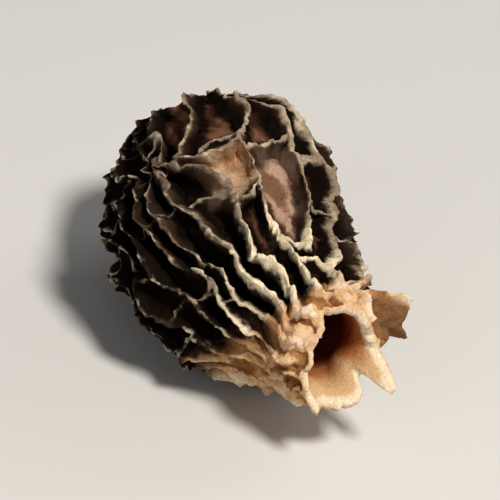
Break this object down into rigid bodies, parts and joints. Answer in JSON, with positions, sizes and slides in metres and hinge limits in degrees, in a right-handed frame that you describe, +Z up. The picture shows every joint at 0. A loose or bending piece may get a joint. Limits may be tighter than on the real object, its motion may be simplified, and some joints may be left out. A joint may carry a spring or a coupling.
{
  "type": "black morel mushroom",
  "caption": "Dried black morel lying on its side: a hollow, blunt-conical cap of dark pits between pale wavy ridges, running into a short torn stem stub.",
  "frame": {"origin": "centre of the bounding box's base, on the surface that the mushroom lies on", "axes": "+X along the mushroom from the tip of its cap towards the open mouth of its stem, +Z up as it lies"},
  "size_m": [0.0242, 0.0154, 0.0127],
  "materials": {
    "dried_morel": "dry, matte and wrinkled: near-black to brown pits, cream-grey ridge crests, and a cream to orange-tan stem"
  },
  "bodies": {
    "root": {"morel": "dried_morel"}
  },
  "joints": []
}
